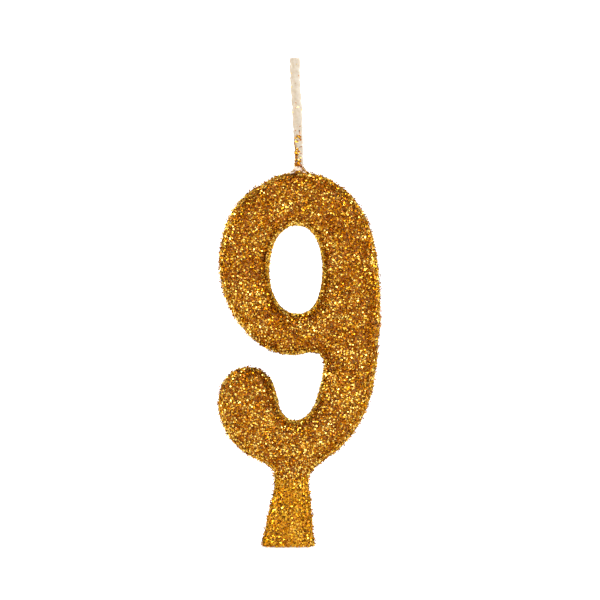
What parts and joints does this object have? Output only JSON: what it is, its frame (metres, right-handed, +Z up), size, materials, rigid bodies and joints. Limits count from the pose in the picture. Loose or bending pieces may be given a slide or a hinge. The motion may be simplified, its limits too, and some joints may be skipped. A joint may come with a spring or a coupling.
{
  "type": "number birthday candle",
  "caption": "Glitter-covered wax number candle shaped as a nine, with a tapered foot that pushes into a cake and a waxed braided wick standing from its crown.",
  "frame": {"origin": "centre of the flat end of the foot, where the wax ends", "axes": "+Z up from the foot's end to the wick; the nine reads the right way round seen along +Y, so its face looks along -Y; +X to the viewer's right"},
  "size_m": [0.0302, 0.009, 0.0912],
  "materials": {
    "white_wax": "semi-matt cast paraffin wax",
    "clear_glue": "thin clear adhesive, tinted by the flakes",
    "gold_glitter": "metallised gold polyester flakes, sparkling",
    "seal_wax": "pale drop of candle wax",
    "wick_wax": "thin cream wax skin",
    "cotton": "bleached cotton yarn"
  },
  "bodies": {
    "root": {"wax_numeral": "white_wax", "glue_film": "clear_glue", "glitter_coat": "gold_glitter", "wick_seal": "seal_wax", "wick_wax_coat": "wick_wax", "wick_strand_1": "cotton", "wick_strand_2": "cotton", "wick_strand_3": "cotton"}
  },
  "joints": []
}
